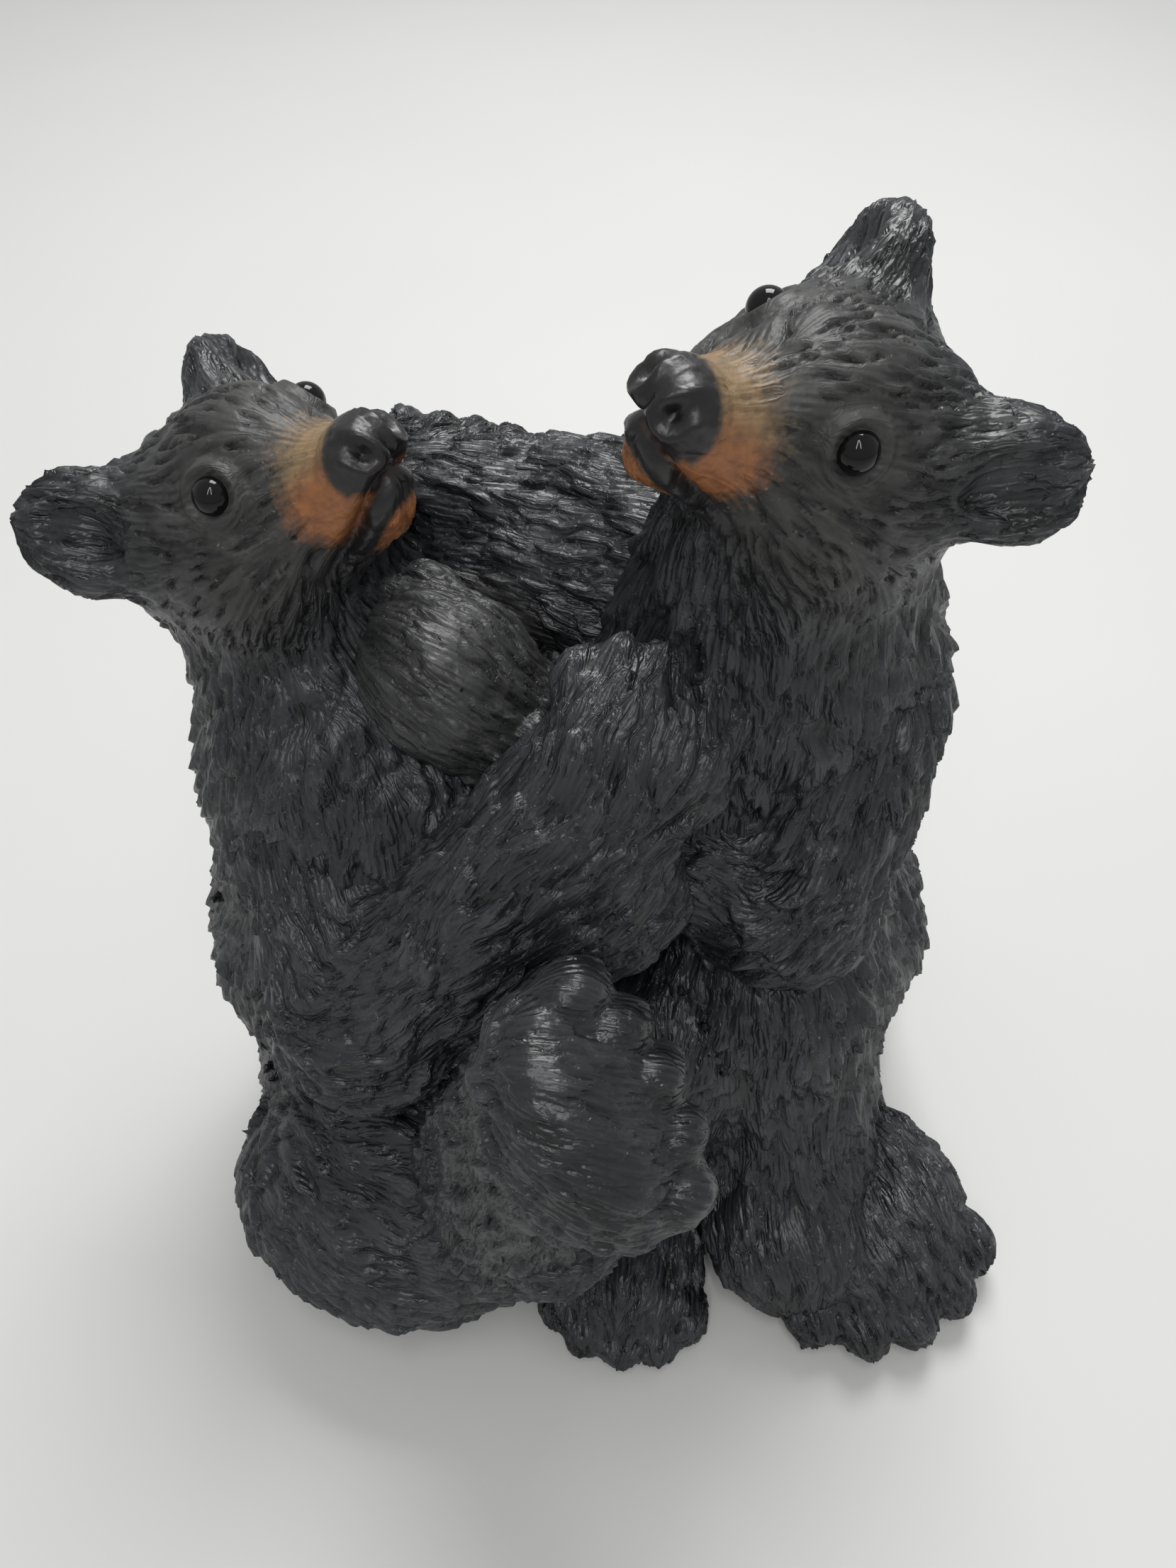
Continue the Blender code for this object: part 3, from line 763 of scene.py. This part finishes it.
# %% [markdown]
# Paint is put on by position
#
# The painter sprayed black over everything, then tan on top of the muzzle, orange on its sides, and
# brushed the nose and lips dark. The masks below are heights from 0 to 1 at each vertex, worked out in
# the head's millimetres, and stored as attributes that the material reads.

# %% Masks at the vertices
def paint_masks(cub, points):
    """Where each colour was sprayed: muzzle, orange, snout and face."""
    local = cub.in_head(points)
    x, y, z = local[:, 0], np.abs(local[:, 1]), local[:, 2]
    on_head = 1 - ease(np.linalg.norm(local, axis=1), 36, 42)
    from_slit = z - mouth_height(x)
    muzzle = ease(x - 0.25 * np.abs(z + 4), 15.5, 26) * on_head * ease(from_slit, -1, 1)
    orange = ease(x, 14, 22) * (1 - ease(z, -1, 4))
    jaw = 0.8 * ease(x, 17, 24) * (1 - ease(from_slit, -3.4, -2.4)) * ease(from_slit, -6.5, -4.5) * on_head
    nose = ease(x - 0.2 * np.abs(z), 29.6, 31.0) * ease(from_slit, 0, 1) * ease(z, -4.5, -3)
    lips = bell(from_slit + 0.7, 1.5) * ease(x, MOUTH_CORNER - 1, MOUTH_CORNER + 3) * on_head
    below_nose = ease(x - 0.5 * y, 28.5, 30.5) * (1 - ease(z, -3.5, -2)) * ease(from_slit, -1, 1)
    snout = np.clip(np.maximum.reduce([nose, lips * 1.3, below_nose]), 0, 1)
    for centre, radii, axes in cub.soles:
        away = ellipsoid_distance(points, centre, radii, axes)
        snout = np.maximum(snout, 0.35 * (1 - ease(away, 0.3, 2.0)))
    face = ease(x, -8, 12) * (1 - ease(np.linalg.norm(local, axis=1), 34, 42)) * ease(z, -18, -8)
    for centre, radii, axes in cub.fine:
        away = ellipsoid_distance(points, centre, radii, axes)
        face = np.maximum(face, 0.6 * (1 - ease(away, 1, 4)))
    muzzle, orange = np.maximum(muzzle, jaw), np.maximum(orange, jaw)
    return {"muzzle": muzzle, "orange": orange, "snout": snout, "face": face}


for piece, shell in zip(PIECES, shells):
    points, normals = read_points(shell)
    for name, values in paint_masks(piece.cub, points).items():
        store(shell, name, values)
    store(shell, "across", in_chunks(lambda *some: side_of_fur(piece, *some), points, normals))
    shell.shade_smooth()
    write_points(shell, np.clip(points * MM + SLIDE, *np.array(cad_box)))


# %% [markdown]
# Sums in a shader
#
# Node trees are easier to read as sums. A small class wraps a socket, and each operator adds the Math
# node that does the same. Everything that is not a sum of numbers comes from one method.

# %% A socket that can be added and multiplied
class Number:
    """A number in a shader's tree."""

    def __init__(self, paint, socket):
        self.paint = paint
        self.socket = socket

    def sum(self, operation, first, second):
        return self.paint.node("ShaderNodeMath", {"operation": operation}, {0: first, 1: second})

    def __add__(self, other):
        return self.sum("ADD", self, other)

    def __radd__(self, other):
        return self.sum("ADD", other, self)

    def __sub__(self, other):
        return self.sum("SUBTRACT", self, other)

    def __rsub__(self, other):
        return self.sum("SUBTRACT", other, self)

    def __mul__(self, other):
        return self.sum("MULTIPLY", self, other)

    def __rmul__(self, other):
        return self.sum("MULTIPLY", other, self)


class Paint:
    """A material under construction."""

    def __init__(self, name):
        self.material = bpy.data.materials.new(name)
        self.material.use_nodes = True
        self.tree = self.material.node_tree
        self.shader = self.tree.nodes["Principled BSDF"]

    def node(self, kind, settings=None, sockets=None, output=0):
        """A node of this kind: its settings first, then the values or links of its sockets."""
        made = self.tree.nodes.new(kind)
        for setting, value in (settings or {}).items():
            setattr(made, setting, value)
        for socket, value in (sockets or {}).items():
            self.feed(made.inputs[socket], value)
        return Number(self, made.outputs[output])

    def feed(self, socket, value):
        """A link where value comes from a node, or else a constant on the socket itself."""
        if isinstance(value, Number):
            self.tree.links.new(value.socket, socket)
        else:
            socket.default_value = value

    def attribute(self, name, output="Fac"):
        return self.node("ShaderNodeAttribute", {"attribute_name": name}, output=output)

    def noise(self, scale, detail, roughness):
        """Cloudy values from 0 to 1, in patches about 1 / scale metres wide."""
        where = self.node("ShaderNodeTexCoord", output="Object")
        return self.node("ShaderNodeTexNoise", {}, {"Vector": where, "Scale": scale, "Detail": detail,
                                                    "Roughness": roughness})

    def hair(self, scale, frequency, where, across):
        """Streaks that run square to across: 1 / (scale frequency) metres apart."""
        return self.node("ShaderNodeTexGabor", {"gabor_type": "3D"}, {
            "Vector": where, "Scale": float(scale), "Frequency": frequency, "Anisotropy": 1.0,
            "Orientation 3D": across})

    def between(self, value, low, high):
        """0 below low, 1 above high, straight between."""
        limits = {"Value": value, "From Min": low, "From Max": high}
        return self.node("ShaderNodeMapRange", {"clamp": True}, limits)

    def blend(self, share, first, second):
        """A colour: the first where share is 0, the second where it is 1."""
        first, second = ((*c, 1) if isinstance(c, tuple) else c for c in (first, second))
        return self.node("ShaderNodeMix", {"data_type": "RGBA"}, {0: share, 6: first, 7: second}, output=2)


# %% [markdown]
# The painted resin
#
# Seen close, the black is a satin paint that dust has dulled, with pale specks caught in the hollows.
# Its colour also holds painted shade, darker in the gaps, which are glossier too, and a painted
# highlight, greyer along the strands. The muzzle colours are thin and mottled, so the black shows
# through along the strands.

# %% Painted resin
def painted_resin():
    paint = Paint("painted_resin")
    relief = paint.attribute("relief")
    face = paint.attribute("face")
    snout = paint.attribute("snout")
    muzzle = paint.attribute("muzzle")
    orange = paint.attribute("orange")
    across = paint.attribute("across", "Vector")
    where = paint.node("ShaderNodeTexCoord", output="Object")
    cloudy = paint.noise(90, 3, 0.6)
    mottle = paint.noise(600, 2, 0.6)
    hair = paint.hair(150, 6.0, where, across)
    # Painted shade and painted highlight: the colour is darker in the gaps and nicks and lighter along the
    # strands and lock tops, with random cloudy tone mixed in.
    painted_shade_and_highlight = paint.between(relief * 0.8 + hair * 0.4 + cloudy * 0.3, 0.45, 1.0)
    black = paint.blend(painted_shade_and_highlight, (0.0035, 0.0038, 0.0044), (0.046, 0.049, 0.055))
    brown = paint.blend(painted_shade_and_highlight, (0.010, 0.010, 0.0095), (0.066, 0.064, 0.059))
    coat = paint.blend(face * 0.8, black, brown)
    tan = paint.blend(mottle, (0.10, 0.068, 0.038), (0.30, 0.20, 0.10))
    rust = paint.blend(mottle, (0.13, 0.046, 0.018), (0.42, 0.16, 0.05))
    warm = paint.blend(orange, tan, rust)
    thin = paint.between(muzzle * 1.2 + (mottle - 0.5) * 0.9 + (hair - 0.5) * 0.5, 0.25, 1.0)
    sprayed = paint.blend(thin, coat, warm)
    wet = paint.blend(snout, sprayed, (0.009, 0.0085, 0.009))
    speck = paint.between(paint.noise(1500, 1, 0.5), 0.70, 0.76) * paint.between(cloudy, 0.5, 0.62)
    dusty = paint.blend(speck * (1 - snout) * 0.5, wet, (0.28, 0.26, 0.22))
    paint.feed(paint.shader.inputs["Base Color"], dusty)
    rough = 0.28 + cloudy * 0.14 + face * 0.14 + speck * 0.2 - snout * 0.12
    paint.feed(paint.shader.inputs["Roughness"], rough)
    bumps = hair * (1 - face * 0.6) * (1 - snout * 0.85) + mottle * 0.25
    depth = {"Strength": 0.9, "Distance": 0.00045, "Height": bumps}
    bump = paint.node("ShaderNodeBump", {}, depth, output="Normal")
    paint.feed(paint.shader.inputs["Normal"], bump)
    return paint.material


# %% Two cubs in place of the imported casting
resin = painted_resin()
for piece, shell in zip(PIECES, shells):
    thing = bpy.data.objects.new(piece.name, shell)
    bpy.context.scene.collection.objects.link(thing)
    thing.data.materials.append(resin)
    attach(thing, "root")
    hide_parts("cubs")


# %% [markdown]
# Bead eyes
#
# Round black glass beads, pressed into the clay. They could be half balls set on the face, but full
# spheres in sockets catch the lamps as the real ones do, also from the side.

# %% Beads
def bead_glass():
    paint = Paint("bead_glass")
    haze = paint.noise(700, 2, 0.5)
    glass = paint.blend(haze, (0.003, 0.003, 0.003), (0.007, 0.006, 0.006))
    paint.feed(paint.shader.inputs["Base Color"], glass)
    paint.feed(paint.shader.inputs["Roughness"], 0.03 + haze * 0.05)
    paint.shader.inputs["Specular IOR Level"].default_value = 0.3
    return paint.material


BEAD_RINGS, BEAD_SPOKES = 40, 64
glass = bead_glass()
for cub in CUBS:
    for side_name, place in BEADS[cub.name].items():
        node = f"{NODE_SIDE[cub.name]}_{side_name}_eye"
        ball = ball_grid(place, np.full(3, BEAD_RADIUS), np.eye(3), BEAD_RINGS, BEAD_SPOKES)
        quads = grid_quads(BEAD_RINGS, BEAD_SPOKES)
        mesh = bpy.data.meshes.new(node + "_bead")
        mesh.from_pydata((ball.reshape(-1, 3) * MM + SLIDE).tolist(), [], quads.tolist())
        mesh, = through_modifier([mesh], "WELD", {"merge_threshold": 0.000001})
        mesh.shade_smooth()
        thing = bpy.data.objects.new(node + "_bead", mesh)
        bpy.context.scene.collection.objects.link(thing)
        thing.data.materials.append(glass)
        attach(thing, "root")
        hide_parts(node)


# %% [markdown]
# The studio
#
# A pale floor, a soft pale surround, and lamps like those over a shop counter: one broad panel, and two
# narrow tubes that show as two bright bars in each bead.

# %% Floor and light
FLOOR_SIZE = 6.0


def studio_floor():
    paint = Paint("pale_floor")
    tone = paint.blend(paint.noise(6, 3, 0.5), (0.60, 0.60, 0.585), (0.64, 0.64, 0.625))
    paint.feed(paint.shader.inputs["Base Color"], tone)
    paint.shader.inputs["Roughness"].default_value = 0.6
    mesh = bpy.data.meshes.new("studio_floor")
    half = FLOOR_SIZE / 2
    corners = [(-half, -half, 0), (half, -half, 0), (half, half, 0), (-half, half, 0)]
    mesh.from_pydata(corners, [], [(0, 1, 2, 3)])
    mesh.materials.append(paint.material)
    thing = bpy.data.objects.new("studio_floor", mesh)
    bpy.context.scene.collection.objects.link(thing)


def lamp(name, place, aim, size, power):
    """A rectangular lamp at a place, turned to face aim."""
    light = bpy.data.lights.new(name, "AREA")
    light.shape = "RECTANGLE"
    light.size, light.size_y = size
    light.energy = power
    thing = bpy.data.objects.new(name, light)
    thing.location = place
    thing.rotation_euler = (Vector(aim) - Vector(place)).to_track_quat("-Z", "Y").to_euler()
    bpy.context.scene.collection.objects.link(thing)


studio_floor()
world = bpy.data.worlds.new("pale_room")
bpy.context.scene.world = world
world.use_nodes = True
world.node_tree.nodes["Background"].inputs["Color"].default_value = (0.93, 0.94, 0.95, 1)
world.node_tree.nodes["Background"].inputs["Strength"].default_value = 0.50
middle = (0.0, 0.0, 0.09)
lamp("broad_panel", (0.10, 0.55, 0.95), middle, (0.45, 0.45), 8.5)
lamp("tube_one", (-0.10, -0.30, 0.75), middle, (0.03, 0.5), 0.9)
lamp("tube_two", (0.06, -0.30, 0.75), middle, (0.03, 0.5), 0.9)


# %% Camera at the photograph's angle
PHOTO_HEIGHT = 2212
PHOTO_LENS = 1640
EYE_POINT = np.array([0.0, -122.1, 245.5])
LOOK_DOWN = math.radians(50)
camera_data = bpy.data.cameras.new("camera")
camera_data.sensor_fit = "VERTICAL"
camera_data.sensor_height = 36
camera_data.lens = PHOTO_LENS / PHOTO_HEIGHT * camera_data.sensor_height
camera_data.clip_start = 0.01
camera = bpy.data.objects.new("camera", camera_data)
camera.location = EYE_POINT * MM + SLIDE
camera.rotation_euler = (math.pi / 2 - LOOK_DOWN, 0, 0)
bpy.context.scene.collection.objects.link(camera)
bpy.context.scene.camera = camera
bpy.context.scene.view_settings.view_transform = "Standard"
